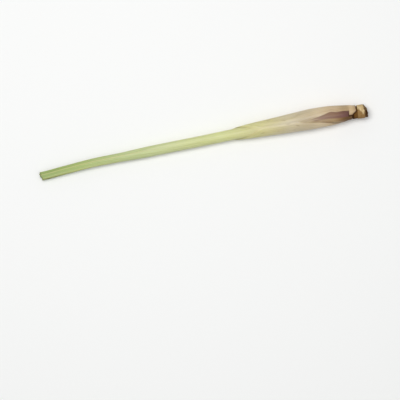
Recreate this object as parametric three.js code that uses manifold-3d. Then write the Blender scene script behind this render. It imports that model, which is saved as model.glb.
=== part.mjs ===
// A trimmed lemongrass stalk lying on its side: a woody root crown, five leaves whose sheaths wrap
// round one another, and the rolled spear leaf in the middle. Units are millimetres. +X points
// towards the root end and +Z up. A place along the stalk is its distance from the cut root end.
import * as THREE from "three";
import Module from "manifold-3d";

const wasm = await Module();
wasm.setup();

// ---------------------------------------------------------------- driving dimensions

const LENGTH = 334;
const GAP = 0.3; // air between neighbouring pieces
const FLOOR = 0; // height of the surface that the stalk lies on

// The middle line of the stalk: a slight bow sideways, and a slope from the fat base to the tip.
const SIDEWAYS = [[0, -2.5], [20, -1.4], [55, 0], [170, 0.4], [270, 0], [310, -1.9], [LENGTH, -3.3]];
const HEIGHT = [[0, 9.3], [30, 9.65], [60, 9.6], [110, 8.6], [170, 7.3], [250, 5.5], [LENGTH, 3.62]];

// The outside of the outermost sheath, carried on past its end as the shape the others nest in.
const OUTSIDE = [
  [12, 6.95], [18, 7.95], [28, 9.0], [40, 9.95], [56, 10.15], [75, 9.4],
  [98, 8.3], [118, 7.4], [141, 6.35], [225, 6.3], [258, 5.6], [LENGTH, 5.55],
];

// Thickness of a leaf's back: thin where it grows from the crown, fleshy in the bulb, then a blade.
const BACK_THICKNESS = [[12, 0.7], [28, 0.85], [50, 1.1], [75, 1.1], [139, 0.64], [LENGTH, 0.64]];
const MARGIN_THICKNESS = 0.62;
const MARGIN_BEGINS = 100; // degrees from the midrib where the back starts to thin
const NO_OVERLAP = 176; // degrees from midrib to margin where a sheath just closes
const BULB_MARKS = [40, 56, 76]; // places round the fattest part of the bulb
const SHEATH_TOP = 141; // where leaf_1 ends and the stalk has its even width

// Which way the odd leaves open, in degrees from straight up: the even leaves open opposite.
const OPENING = [[12, -21], [27, -19], [62, -13], [150, 0], [LENGTH, 25]];

// Each leaf, from the outside in. wrap is the angle from midrib to margin, turn how far the leaf is
// turned from the side that it would open to, lift how far its outer margin rides over the inner
// one, flare how far the margins stand off, and keel the height of the midrib. A torn leaf has no
// closed ring at its foot: its two corners there are worn back.
const LEAVES = [
  {
    name: "leaf_1",
    begins: 11.6,
    ends: SHEATH_TOP,
    segments: 28,
    spacing: 9,
    marks: [15, 18, 19.2, 24, 31, ...BULB_MARKS, 104, 122, 136],
    wrap: [[18, 124.5], [19.2, 108.75], [24, 115], [31, 130.25], [38, 143], [45, 157], [57, 171],
      [66, 180], [76, 200], [104, 200], [122, 135], [136, 60], [SHEATH_TOP, 25]],
    turn: [[18, -53], [19.2, -36.75], [24, -27.5], [31, -15.75], [38, 2], [45, 1], [57, 0]],
    lift: [[50, 0], [62, 1], [112, 1], [124, 0]],
    flare: [[110, 0], [134, 0.3]],
    keel: [[0, 0]],
    ragged: 0.35,
    torn: true,
    color: 0xd9c4a2,
  },
  {
    name: "leaf_2",
    begins: 16,
    ends: 333,
    segments: 24,
    spacing: 16,
    marks: [19, 26, ...BULB_MARKS, SHEATH_TOP, 148, 160, 212, 252],
    wrap: [[149, NO_OVERLAP], [160, 200], [212, 200], [252, 86], [LENGTH, 60]],
    turn: [[0, 0]],
    lift: [[141.5, 0], [148, 1], [224, 1], [238, 0]],
    flare: [[225, 0], [300, 0.7]],
    keel: [[215, 0], [260, 0.25]],
    ragged: 0,
    torn: false,
    color: 0xcfcf98,
  },
  {
    name: "leaf_3",
    begins: 20,
    ends: 334,
    segments: 20,
    spacing: 18,
    marks: [23, 28, ...BULB_MARKS, SHEATH_TOP, 240, 266],
    wrap: [[240, NO_OVERLAP], [266, 104], [LENGTH, 94]],
    turn: [[0, 0]],
    lift: [[0, 0]],
    flare: [[285, 0], [325, 0.4]],
    keel: [[250, 0], [280, 0.2]],
    ragged: 0,
    torn: false,
    color: 0xb9c67f,
  },
  {
    name: "leaf_4",
    begins: 24,
    ends: 331.5,
    segments: 16,
    spacing: 20,
    marks: [28, ...BULB_MARKS, SHEATH_TOP, 268, 294],
    wrap: [[268, NO_OVERLAP], [294, 126], [LENGTH, 112]],
    turn: [[0, 0]],
    lift: [[0, 0]],
    flare: [[0, 0]],
    keel: [[285, 0], [310, 0.2]],
    ragged: 0,
    torn: false,
    color: 0xa7ba6c,
  },
  {
    name: "leaf_5",
    begins: 28,
    ends: 332.5,
    segments: 14,
    spacing: 20,
    marks: [31, ...BULB_MARKS, SHEATH_TOP, 298, 318],
    wrap: [[298, NO_OVERLAP], [318, 140], [LENGTH, 128]],
    turn: [[0, 0]],
    lift: [[0, 0]],
    flare: [[0, 0]],
    keel: [[0, 0]],
    ragged: 0,
    torn: false,
    color: 0x9bb060,
  },
];

const MOST_SWING = 18; // degrees that a margin may swing round between two stations
const CORNER_WEAR = 4.2; // how far a torn leaf's two corners are worn back
const CORNER_WIDTH = 30; // degrees from each margin over which the wear sets in
const FOOT_REACH = 7; // length over which the rows of a leaf follow its uneven foot
const LIFT_RAMP = 34; // degrees over which a margin climbs on to the one beneath
const LIFT_LEAD = 4; // degrees by which it is up before it meets that margin
const KEEL_WIDTH = 12; // degrees
const RING_HEIGHT = 5; // of the closed ring at a leaf's foot
const RING_REACH = 5; // degrees by which the patch that closes the ring goes into each margin
const RING_SINK = 0.05; // how far the patch lies under the leaf's two faces
const RING_STEP = 0.6; // how far it starts above the leaf's ragged foot
const FLARE_BEGINS = 0.5; // share of the way from the midrib where a margin starts to stand off
const TIP_SLANT = 1.2; // how far the cut across the tips leans, to each side

const CROWN_SEGMENTS = 26;
// The bare end of the crown: a bevelled cut face, a band, the stub and the groove under leaf_1.
const CROWN_STUB = [[0, 6.2], [0.7, 6.6], [3.2, 6.7], [4.2, 7.05], [7, 6.85], [9.7, 6.85], [10.4, 5.9]];
const CROWN_TOP = 32;

const SPEAR_BEGINS = CROWN_TOP + GAP;
const SPEAR_ENDS = 333.5;
const SPEAR_SEGMENTS = 12;
const SPEAR_SPACING = 20;

// ---------------------------------------------------------------- curves and the stalk's own frame

// A curve through [place, value] points that never overshoots them, level beyond both ends.
function smoothCurve(points) {
  const rise = (i) => (points[i + 1][1] - points[i][1]) / (points[i + 1][0] - points[i][0]);
  const slopes = points.map((_, i) => {
    if (i === 0 || i === points.length - 1) return 0;
    const before = rise(i - 1);
    const after = rise(i);
    return before * after > 0 ? (2 * before * after) / (before + after) : 0;
  });
  return (place) => {
    if (place <= points[0][0]) return points[0][1];
    const next = points.findIndex((point) => point[0] >= place);
    if (next < 0) return points[points.length - 1][1];
    const [from, fromValue] = points[next - 1];
    const [to, toValue] = points[next];
    const width = to - from;
    const u = (place - from) / width;
    const bend = slopes[next - 1] * (1 - u) ** 2 * u - slopes[next] * (1 - u) * u ** 2;
    return THREE.MathUtils.lerp(fromValue, toValue, u * u * (3 - 2 * u)) + bend * width;
  };
}

const sideways = smoothCurve(SIDEWAYS);
const height = smoothCurve(HEIGHT);
const outside = smoothCurve(OUTSIDE);
const backThickness = smoothCurve(BACK_THICKNESS);
const opening = smoothCurve(OPENING);

function middle(place) {
  return new THREE.Vector3(LENGTH / 2 - place, sideways(place), height(place));
}

// The point at a distance from the middle line, in a direction measured from straight up to +Y.
function stalkPoint(place, direction, radius) {
  const along = middle(place + 0.5).sub(middle(place - 0.5)).normalize();
  const up = new THREE.Vector3(0, 0, 1);
  up.addScaledVector(along, -up.dot(along)).normalize();
  const across = new THREE.Vector3().crossVectors(along, up);
  const angle = THREE.MathUtils.degToRad(direction);
  const point = middle(place)
    .addScaledVector(up, radius * Math.cos(angle))
    .addScaledVector(across, radius * Math.sin(angle));
  point.z = Math.max(point.z, FLOOR);
  return point;
}

// Places from the first mark to the last, each stretch between marks cut into equal steps. A step
// is no longer than the spacing, and a margin swings round by no more than MOST_SWING in it.
function stationsAlong(marks, spacing, wrap = () => 0, turn = () => 0) {
  const places = [marks[0]];
  for (let i = 1; i < marks.length; i += 1) {
    const [from, to] = [marks[i - 1], marks[i]];
    const swing = Math.abs(wrap(to) - wrap(from)) + Math.abs(turn(to) - turn(from));
    const steps = Math.ceil(Math.max((to - from) / spacing, swing / MOST_SWING));
    for (let k = 1; k <= steps; k += 1) {
      places.push(THREE.MathUtils.lerp(from, to, k / steps));
    }
  }
  return places;
}

// ---------------------------------------------------------------- meshes

function geometryOf(points, triangles) {
  const geometry = new THREE.BufferGeometry();
  geometry.setFromPoints(points);
  geometry.setIndex(triangles);
  return geometry;
}

// Faces between rings of points that all have the same number of points.
function sideTriangles(ringCount, ringSize) {
  const triangles = [];
  for (let ring = 0; ring < ringCount - 1; ring += 1) {
    for (let i = 0; i < ringSize; i += 1) {
      const here = ring * ringSize + i;
      const beside = ring * ringSize + ((i + 1) % ringSize);
      triangles.push(here, beside, beside + ringSize);
      triangles.push(here, beside + ringSize, here + ringSize);
    }
  }
  return triangles;
}

// A round solid along the stalk, from stations that give a place and a radius.
function roundSolid(stations, segments, topShift) {
  const points = [];
  stations.forEach(({ place, radius }, ring) => {
    const last = ring === stations.length - 1;
    for (let i = 0; i < segments; i += 1) {
      const direction = (360 * i) / segments;
      points.push(stalkPoint(place + (last ? topShift(direction) : 0), direction, radius));
    }
  });
  const triangles = sideTriangles(stations.length, segments);
  const foot = points.push(middle(stations[0].place)) - 1;
  const top = points.push(middle(stations[stations.length - 1].place)) - 1;
  const topRing = (stations.length - 1) * segments;
  for (let i = 0; i < segments; i += 1) {
    const next = (i + 1) % segments;
    triangles.push(foot, next, i);
    triangles.push(top, topRing + i, topRing + next);
  }
  return geometryOf(points, triangles);
}

// An open shell along the stalk. surface(place, share) gives the direction and the two radii at a
// share of the way from one margin to the other, and shift(place, share, direction) how far a point
// moves along.
function openShell(places, segments, surface, shift) {
  const points = [];
  const ringSize = 2 * (segments + 1);
  places.forEach((place) => {
    const outer = [];
    const inner = [];
    for (let i = 0; i <= segments; i += 1) {
      const share = i / segments;
      const moved = place + shift(place, share, surface(place, share).direction);
      const { direction, outerRadius, innerRadius } = surface(moved, share);
      outer.push(stalkPoint(moved, direction, outerRadius));
      inner.unshift(stalkPoint(moved, direction, innerRadius));
    }
    points.push(...outer, ...inner);
  });
  const triangles = sideTriangles(places.length, ringSize);
  const topRing = (places.length - 1) * ringSize;
  for (let i = 0; i < segments; i += 1) {
    const facing = ringSize - 1 - i;
    triangles.push(i, facing, i + 1, i + 1, facing, facing - 1);
    triangles.push(topRing + i, topRing + i + 1, topRing + facing);
    triangles.push(topRing + i + 1, topRing + facing - 1, topRing + facing);
  }
  return geometryOf(points, triangles);
}

function manifoldOf(geometry) {
  return new wasm.Manifold(
    new wasm.Mesh({
      numProp: 3,
      vertProperties: geometry.getAttribute("position").array,
      triVerts: new Uint32Array(geometry.getIndex().array),
    }),
  );
}

function joined(first, second) {
  const mesh = manifoldOf(first).add(manifoldOf(second)).getMesh();
  const geometry = new THREE.BufferGeometry();
  geometry.setAttribute("position", new THREE.BufferAttribute(mesh.vertProperties, 3));
  geometry.setIndex(new THREE.BufferAttribute(mesh.triVerts, 1));
  return geometry;
}

// ---------------------------------------------------------------- leaves

// How far the plain outside of a leaf lies from the middle line, under the leaves outside it.
function leafOutside(order, place) {
  return outside(place) - order * (backThickness(place) + GAP);
}

function leafInside(order, place) {
  return leafOutside(order, place) - backThickness(place);
}

// The uneven edge where old tissue has torn, as a distance along the stalk: three waves that
// don't repeat together.
function raggedEdge(direction, amount) {
  const angle = THREE.MathUtils.degToRad(direction);
  return amount * (Math.sin(3 * angle + 1) + 0.6 * Math.sin(7 * angle) + 0.4 * Math.sin(11 * angle + 2));
}

function tipSlant(direction) {
  return TIP_SLANT * Math.sin(THREE.MathUtils.degToRad(direction));
}

// The direction and the two radii of a leaf at a share of the way from one margin to the other. Its
// inside hugs the leaf beneath, and it thins towards its margins from the outside.
function leafSurface(leaf, order) {
  const wrap = smoothCurve(leaf.wrap);
  const turn = smoothCurve(leaf.turn);
  const lift = smoothCurve(leaf.lift);
  const flare = smoothCurve(leaf.flare);
  const keel = smoothCurve(leaf.keel);
  const midribSide = order % 2 === 0 ? 180 : 0;
  return (place, share) => {
    const reach = wrap(place);
    const angle = THREE.MathUtils.lerp(-reach, reach, share);
    const back = backThickness(place);
    const thins = Math.min(MARGIN_BEGINS, 0.5 * reach);
    const thinned = THREE.MathUtils.smoothstep(Math.abs(angle), thins, Math.min(NO_OVERLAP, reach));
    const thickness = THREE.MathUtils.lerp(back, MARGIN_THICKNESS, thinned);
    const climbEnds = 360 - Math.max(reach, 180) - LIFT_LEAD;
    const climb = THREE.MathUtils.smoothstep(angle, climbEnds - LIFT_RAMP, climbEnds);
    const stand = THREE.MathUtils.smoothstep(Math.abs(angle), FLARE_BEGINS * reach, reach);
    const ridge = keel(place) * Math.exp(-((angle / KEEL_WIDTH) ** 2));
    const moved = climb * lift(place) * (MARGIN_THICKNESS + GAP) + stand * flare(place);
    const innerRadius = leafInside(order, place) + moved;
    return {
      direction: opening(place) + turn(place) + midribSide + angle,
      outerRadius: innerRadius + thickness + ridge,
      innerRadius,
    };
  };
}

// The leaf's foot is a closed ring round the crown: this patch bridges the slit between margins.
function ringPatch(leaf, surface) {
  const places = stationsAlong([leaf.begins + RING_STEP, leaf.begins + RING_HEIGHT], RING_HEIGHT / 2);
  const slit = 360 - 2 * (NO_OVERLAP - RING_REACH);
  const patch = (place, share) => {
    const margin = surface(place, 1);
    return {
      direction: margin.direction - NO_OVERLAP + 180 + slit * (share - 0.5),
      outerRadius: margin.outerRadius - RING_SINK,
      innerRadius: margin.innerRadius + RING_SINK,
    };
  };
  return openShell(places, 2, patch, () => 0);
}

// How far a leaf's points move along: its foot and its cut end are uneven, and the rows near the
// foot follow it, less and less.
function endShift(leaf) {
  const wrap = smoothCurve(leaf.wrap);
  return (place, share, direction) => {
    if (place === leaf.ends) {
      return leaf.torn ? raggedEdge(direction, leaf.ragged) : tipSlant(direction);
    }
    const toMargin = 2 * wrap(place) * Math.min(share, 1 - share);
    const wear = leaf.torn ? CORNER_WEAR * (1 - THREE.MathUtils.smoothstep(toMargin, 0, CORNER_WIDTH)) : 0;
    const follows = Math.max(0, 1 - (place - leaf.begins) / FOOT_REACH);
    return follows * (wear + raggedEdge(direction, leaf.ragged));
  };
}

function leafGeometry(leaf, order) {
  const surface = leafSurface(leaf, order);
  const marks = [leaf.begins, ...leaf.marks, leaf.ends];
  const places = stationsAlong(marks, leaf.spacing, smoothCurve(leaf.wrap), smoothCurve(leaf.turn));
  const shell = openShell(places, leaf.segments, surface, endShift(leaf));
  return leaf.torn ? shell : joined(shell, ringPatch(leaf, surface));
}

// ---------------------------------------------------------------- crown and spear

// The crown steps in just under each leaf's foot, where that leaf grows from it.
function crownGeometry() {
  const stations = CROWN_STUB.map(([place, radius]) => ({ place, radius }));
  LEAVES.forEach((leaf, order) => {
    const next = LEAVES[order + 1];
    const ledge = next ? next.begins - GAP : CROWN_TOP;
    const room = (place) => leafInside(order, place) - GAP;
    if (order > 0) stations.push({ place: leaf.begins - GAP, radius: room(leaf.begins) });
    stations.push({ place: (leaf.begins + ledge) / 2, radius: room((leaf.begins + ledge) / 2) });
    stations.push({ place: ledge, radius: room(ledge) });
  });
  return roundSolid(stations, CROWN_SEGMENTS, () => 0);
}

function spearGeometry() {
  const innermost = LEAVES.length - 1;
  const marks = [SPEAR_BEGINS, ...BULB_MARKS, SHEATH_TOP, SPEAR_ENDS];
  const stations = stationsAlong(marks, SPEAR_SPACING).map((place) => ({
    place,
    radius: leafInside(innermost, place) - GAP,
  }));
  return roundSolid(stations, SPEAR_SEGMENTS, tipSlant);
}

// ---------------------------------------------------------------- the stalk

function leafMaterial(color) {
  return new THREE.MeshStandardMaterial({ color, roughness: 0.42, metalness: 0 });
}

function pieceMesh(name, geometry, material) {
  geometry.computeVertexNormals();
  const mesh = new THREE.Mesh(geometry, material);
  mesh.name = name;
  return mesh;
}

const stalk = new THREE.Group();
const crownMaterial = new THREE.MeshStandardMaterial({ color: 0xb79b6e, roughness: 0.8, metalness: 0 });
stalk.add(pieceMesh("root_crown", crownGeometry(), crownMaterial));
LEAVES.forEach((leaf, order) => {
  stalk.add(pieceMesh(leaf.name, leafGeometry(leaf, order), leafMaterial(leaf.color)));
});
stalk.add(pieceMesh("spear_leaf", spearGeometry(), leafMaterial(0x8fa855)));

export default stalk;
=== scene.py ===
"""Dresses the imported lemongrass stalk: every leaf, the spear and the root crown as fine surfaces.

A place along the stalk is its distance in millimetres from the cut root end. A direction round it is
an angle in degrees from straight up towards +Y, and an angle across a leaf is counted from its
midrib. Meshes are worked out in millimetres and placed in metres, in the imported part's own frame.
"""

import logging
import math
from dataclasses import dataclass, field
from enum import Enum

import bpy
import numpy as np
from mathutils import Matrix, Vector

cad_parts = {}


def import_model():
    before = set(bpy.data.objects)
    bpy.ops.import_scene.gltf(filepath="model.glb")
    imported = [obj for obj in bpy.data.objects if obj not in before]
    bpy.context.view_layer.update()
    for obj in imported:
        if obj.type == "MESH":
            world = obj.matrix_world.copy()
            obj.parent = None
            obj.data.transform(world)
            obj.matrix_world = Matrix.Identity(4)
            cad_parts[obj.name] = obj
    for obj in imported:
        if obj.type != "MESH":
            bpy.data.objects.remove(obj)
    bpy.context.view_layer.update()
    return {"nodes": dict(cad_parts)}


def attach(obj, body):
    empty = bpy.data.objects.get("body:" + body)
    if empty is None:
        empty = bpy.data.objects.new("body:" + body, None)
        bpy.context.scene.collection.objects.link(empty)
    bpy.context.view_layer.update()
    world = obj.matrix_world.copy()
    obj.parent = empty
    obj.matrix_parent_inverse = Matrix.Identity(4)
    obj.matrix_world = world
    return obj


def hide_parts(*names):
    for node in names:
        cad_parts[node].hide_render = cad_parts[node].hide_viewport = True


LOG = logging.getLogger("stalk")
MM = 0.001
BODY = "root"
LENGTH = 334.0
SHEATH_TOP = 141.0  # where the outermost leaf ends
GAP = 0.3  # air between neighbouring pieces
RIB_PITCH = 1.3  # width of a rib in the finishes' own millimetres
NO_OVERLAP = 176.0  # degrees from midrib to margin where a sheath just closes
HARD_EDGE = math.radians(50)
STATION_SAMPLES = 4000
BRUSHES = ("pale", "shade", "blush", "dry_and_shade", "stain")  # in the order that a leaf's finish lays them

Array = np.ndarray
Socket = bpy.types.NodeSocket
Pair = tuple[float, float]
Colour = tuple[int, int, int]
Stops = tuple[tuple[float, Colour], ...]


class Slot(Enum):
    """The record's material slots."""

    WOODY_CROWN = "woody_crown"
    OUTER_SHEATH = "outer_sheath"
    PALE_GREEN_LEAF = "pale_green_leaf"
    GREEN_LEAF = "green_leaf"
    SPEAR_LEAF = "spear_leaf"


# ---------------------------------------------------------------- formulas


def smooth_step(value: Array, low: float, high: float) -> Array:
    """A soft step from 0 at low to 1 at high: 3 squares less 2 cubes of the share of the way."""
    share = np.clip((value - low) / (high - low), 0.0, 1.0)
    return share * share * (3.0 - 2.0 * share)


def bell(value: Array, width: float) -> Array:
    """A bump of height 1 at 0: e to the power of minus the square of value over width."""
    return np.exp(-((value / width) ** 2))


def decay(value: Array, width: float) -> Array:
    """A fall from 1 at 0: e to the power of minus value over width."""
    return np.exp(-value / width)


def signed(direction: Array) -> Array:
    """The same direction as an angle from -180 to 180 degrees."""
    return (direction + 180.0) % 360.0 - 180.0


@dataclass(frozen=True)
class Window:
    """A soft plateau that rises over one stretch and falls over another."""

    rise: Pair
    fall: Pair

    def __call__(self, value: Array) -> Array:
        """The rising step times what the falling one leaves."""
        return smooth_step(value, *self.rise) * (1.0 - smooth_step(value, *self.fall))


class Curve:
    """A curve through (place, value) points that never overshoots them, level beyond both ends.

    Each stretch is a cubic whose slope at a point is the harmonic mean of the rises on its two sides,
    or 0 where they have opposite signs.
    """

    def __init__(self, *points: Pair) -> None:
        """Works out the slopes from two or more places with the values there."""
        self.places, self.values = np.array(points, float).T
        rise = np.diff(self.values) / np.diff(self.places)
        before, after = rise[:-1], rise[1:]
        alike = before * after > 0
        self.slopes = np.zeros(len(points))
        self.slopes[1:-1] = np.where(alike, 2.0 * before * after / np.where(alike, before + after, 1.0), 0.0)

    def __call__(self, place: Array) -> Array:
        """Reads the curve.

        Args:
            place: Where to read it.

        Returns:
            The curve's value at each place.
        """
        places, values, slopes = self.places, self.values, self.slopes
        clipped = np.clip(np.asarray(place, float), places[0], places[-1])
        cell = np.clip(np.searchsorted(places, clipped, side="right") - 1, 0, len(places) - 2)
        width = places[cell + 1] - places[cell]
        u = (clipped - places[cell]) / width
        bend = slopes[cell] * (1 - u) ** 2 * u - slopes[cell + 1] * (1 - u) * u**2
        return values[cell] + (values[cell + 1] - values[cell]) * u * u * (3 - 2 * u) + bend * width


LEVEL = Curve((0, 0), (LENGTH, 0))


@dataclass(frozen=True)
class Grain:
    """Seeded smooth noise: random values on a square grid, blended with soft steps between them."""

    seed: int
    cells: int = 64

    def __call__(self, across: Array, along: Array) -> Array:
        """Reads the noise.

        Args:
            across: First coordinate, where 1 is one cell.
            along: Second coordinate, where 1 is one cell.

        Returns:
            Values from -1 to 1, of the two coordinates' common shape.
        """
        lattice = np.random.default_rng(self.seed).uniform(-1.0, 1.0, (self.cells, self.cells))
        x, y = np.broadcast_arrays(np.asarray(across, float), np.asarray(along, float))
        x0, y0 = np.floor(x).astype(int), np.floor(y).astype(int)
        u, v = smooth_step(x - x0, 0, 1), smooth_step(y - y0, 0, 1)
        left, right = x0 % self.cells, (x0 + 1) % self.cells
        low, high = y0 % self.cells, (y0 + 1) % self.cells
        near = lattice[left, low] * (1 - u) + lattice[right, low] * u
        far = lattice[left, high] * (1 - u) + lattice[right, high] * u
        return near * (1 - v) + far * v


def stations(*spacing: Pair) -> Array:
    """Places along the stalk whose distances follow a rule.

    The number of steps up to a place is the integral of one over the spacing there.

    Args:
        spacing: Points of place and wanted distance between stations.

    Returns:
        The places, from the first point's to the last point's.
    """
    fine = np.linspace(spacing[0][0], spacing[-1][0], STATION_SAMPLES)
    step = np.interp(fine, *np.array(spacing, float).T)
    count = np.concatenate([[0.0], np.cumsum(np.diff(fine) / (0.5 * (step[1:] + step[:-1])))])
    return np.interp(np.linspace(0.0, count[-1], math.ceil(count[-1]) + 1), count, fine)


# ---------------------------------------------------------------- the stalk's own frame


@dataclass(frozen=True)
class StalkShape:
    """The middle line of the stalk and the sizes that all its pieces share, in millimetres."""

    sideways: Curve = Curve(
        (0, -2.5), (20, -1.4), (55, 0), (170, 0.4), (270, 0), (310, -1.9), (LENGTH, -3.3)
    )
    height: Curve = Curve(
        (0, 9.3), (30, 9.65), (60, 9.6), (110, 8.6), (170, 7.3), (250, 5.5), (LENGTH, 3.62)
    )
    outside: Curve = Curve(
        (12, 6.95), (18, 7.95), (28, 9.0), (40, 9.95), (56, 10.15), (75, 9.4),
        (98, 8.3), (118, 7.4), (SHEATH_TOP, 6.35), (225, 6.3), (258, 5.6), (LENGTH, 5.55),
    )
    back: Curve = Curve((12, 0.7), (28, 0.85), (50, 1.1), (75, 1.1), (139, 0.64), (LENGTH, 0.64))
    opening: Curve = Curve((12, -21), (27, -19), (62, -13), (150, 0), (LENGTH, 25))
    # The waves that all pieces share: height, lobes round the stalk, turn along it and start.
    waves: tuple[tuple[float, int, float, float], ...] = (
        (0.10, 2, 0.030, 0.6), (0.06, 3, -0.055, 2.1), (0.05, 1, 0.085, 0.0)
    )
    waves_rise: Pair = (8, 40)

    def middle(self, place: Array) -> Array:
        """The point of the middle line at each place."""
        return np.stack([LENGTH / 2 - place, self.sideways(place), self.height(place)], -1)

    def swell(self, place: Array, direction: Array) -> Array:
        """Works out the shared unevenness: low cosine waves that turn as they run along.

        Args:
            place: Distance from the root end.
            direction: Degrees from straight up.

        Returns:
            How far it stands out.
        """
        angle = np.radians(direction)
        waves = (
            high * np.cos(lobes * angle + turn * place + start) for high, lobes, turn, start in self.waves
        )
        return sum(waves) * smooth_step(place, *self.waves_rise)

    def points(self, place: Array, direction: Array, radius: Array) -> Array:
        """Points at a distance from the middle line, kept above the surface that the stalk lies on.

        Up is square to the middle line and in an upright plane with it, and across is square to both.

        Args:
            place: Distance from the root end.
            direction: Degrees from straight up towards +Y.
            radius: Distance from the middle line.

        Returns:
            Points in metres, with one more axis than the arguments.
        """
        place, direction, radius = np.broadcast_arrays(place, direction, radius)
        along = self.middle(place + 0.5) - self.middle(place - 0.5)
        along /= np.linalg.norm(along, axis=-1, keepdims=True)
        up = np.array([0.0, 0.0, 1.0]) - along * along[..., 2:3]
        up /= np.linalg.norm(up, axis=-1, keepdims=True)
        across = np.cross(along, up)
        angle = np.radians(direction)[..., None]
        out = radius + self.swell(place, direction)
        made = self.middle(place) + out[..., None] * (up * np.cos(angle) + across * np.sin(angle))
        made[..., 2] = np.maximum(made[..., 2], 0.0)
        return made * MM

    def leaf_outside(self, order: int, place: Array) -> Array:
        """The plain outside radius of a leaf: the stalk's, less a back and a gap for each leaf over it."""
        return self.outside(place) - order * (self.back(place) + GAP)

    def leaf_inside(self, order: int, place: Array) -> Array:
        """The plain inside radius of the same leaf, a back further in."""
        return self.leaf_outside(order, place) - self.back(place)


STALK = StalkShape()


# ---------------------------------------------------------------- meshes


def add_object(name: str, data: bpy.types.ID) -> bpy.types.Object:
    """Puts a mesh, lamp or camera in the scene.

    Args:
        name: The object's name.
        data: What it shows.

    Returns:
        The object, at the origin.
    """
    made = bpy.data.objects.new(name, data)
    bpy.context.scene.collection.objects.link(made)
    return made


@dataclass
class Shell:
    """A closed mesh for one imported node, with numbers painted on its points."""

    node: str
    points: Array
    quads: Array
    triangles: Array
    paint: dict[str, Array] = field(default_factory=dict)

    def to_object(self) -> bpy.types.Object:
        """Makes the Blender object.

        Returns:
            The object at the origin, smooth except across hard edges.
        """
        name = self.node + "_skin"
        mesh = bpy.data.meshes.new(name)
        corners = np.concatenate([self.quads.ravel(), self.triangles.ravel()]).astype(np.int32)
        sizes = np.concatenate([np.full(len(self.quads), 4), np.full(len(self.triangles), 3)])
        starts = np.concatenate([[0], np.cumsum(sizes)[:-1]]).astype(np.int32)
        mesh.vertices.add(len(self.points))
        mesh.vertices.foreach_set("co", self.points.astype(np.float32).ravel())
        mesh.loops.add(len(corners))
        mesh.loops.foreach_set("vertex_index", corners)
        mesh.polygons.add(len(sizes))
        mesh.polygons.foreach_set("loop_start", starts)
        mesh.update(calc_edges=True)
        mesh.polygons.foreach_set("use_smooth", np.ones(len(sizes), bool))
        mesh.set_sharp_from_angle(angle=HARD_EDGE)
        for key, values in self.paint.items():
            layer = mesh.attributes.new(key, "FLOAT", "POINT")
            layer.data.foreach_set("value", values.astype(np.float32).ravel())
        mesh.validate()
        return add_object(name, mesh)


@dataclass
class Patch:
    """A grid of points in rows round the stalk, with the numbers painted on them."""

    place: Array
    direction: Array
    radius: Array
    paint: dict[str, Array]

    def points(self) -> Array:
        """The points in metres."""
        return STALK.points(self.place, self.direction, self.radius)


def side_quads(rows: int, size: int) -> Array:
    """Faces between closed rings of points.

    Args:
        rows: Number of rings.
        size: Points in each ring.

    Returns:
        Four point numbers a face, facing away from the rings' middle.
    """
    here = np.arange(rows - 1)[:, None] * size + np.arange(size)[None, :]
    beside = np.arange(rows - 1)[:, None] * size + (np.arange(size)[None, :] + 1) % size
    return np.stack([here, beside, beside + size, here + size], -1).reshape(-1, 4)


def sheet_shell(node: str, outer: Patch, inner: Patch) -> Shell:
    """Closes an outer and an inner surface into one sheet.

    Each ring runs across the outer surface and back across the inner one, which has half as many
    steps. The two end rings are closed by strips of triangles, three to each inner step.

    Args:
        node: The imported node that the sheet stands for.
        outer: The outer surface.
        inner: The inner surface, in the same order across.

    Returns:
        The closed shell.
    """
    rings = np.concatenate([outer.points(), inner.points()[:, ::-1]], 1)
    rows, size = rings.shape[:2]
    step = np.arange(inner.direction.shape[1] - 1)
    a, b, c = 2 * step, 2 * step + 1, 2 * step + 2
    p, q = size - 1 - step, size - 2 - step
    foot = np.concatenate([np.stack(t, 1) for t in ((a, p, b), (b, p, q), (b, q, c))])
    top = (rows - 1) * size + foot[:, ::-1]
    paint = {
        key: np.concatenate([values, inner.paint[key][:, ::-1]], 1).ravel()
        for key, values in outer.paint.items()
    }
    return Shell(node, rings.reshape(-1, 3), side_quads(rows, size), np.concatenate([foot, top]), paint)


def pattern(place: Array, across: Array) -> dict[str, Array]:
    """The painted coordinates that a leaf's finish reads, on the grid that both arrays share."""
    place, across = np.broadcast_arrays(place, across)
    return {"along": place / LENGTH, "along_mm": place, "across_mm": across}


# ---------------------------------------------------------------- finishes


def linear(colour: Colour) -> tuple[float, float, float, float]:
    """A display colour of 0 to 255 as linear light, with full alpha."""
    values = (part / 255 for part in colour)
    return *(v / 12.92 if v <= 0.04045 else ((v + 0.055) / 1.055) ** 2.4 for v in values), 1.0


@dataclass(frozen=True)
class Streak:
    """Noise along the veins that tints a leaf, with its cells in a millimetre.

    The tint grows stronger over the noise values in deepens, and comes to show over those in
    appears, up to the share in most.
    """

    across: float
    along: float
    detail: float
    shift: float
    tint: Colour
    blend: str
    deepens: Pair
    appears: Pair
    most: float


VEINS = Streak(1.5, 0.020, 2.0, 0.0, (168, 166, 112), "MULTIPLY", (0.42, 0.72), (0.4, 0.6), 0.28)
THREADS = Streak(5.5, 0.045, 1.0, 3.7, (196, 190, 150), "MULTIPLY", (0.45, 0.7), (0.45, 0.62), 0.35)
BANDS = Streak(0.32, 0.012, 3.0, 7.3, (238, 232, 206), "MIX", (0.45, 0.75), (0.45, 0.75), 0.3)


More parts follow.
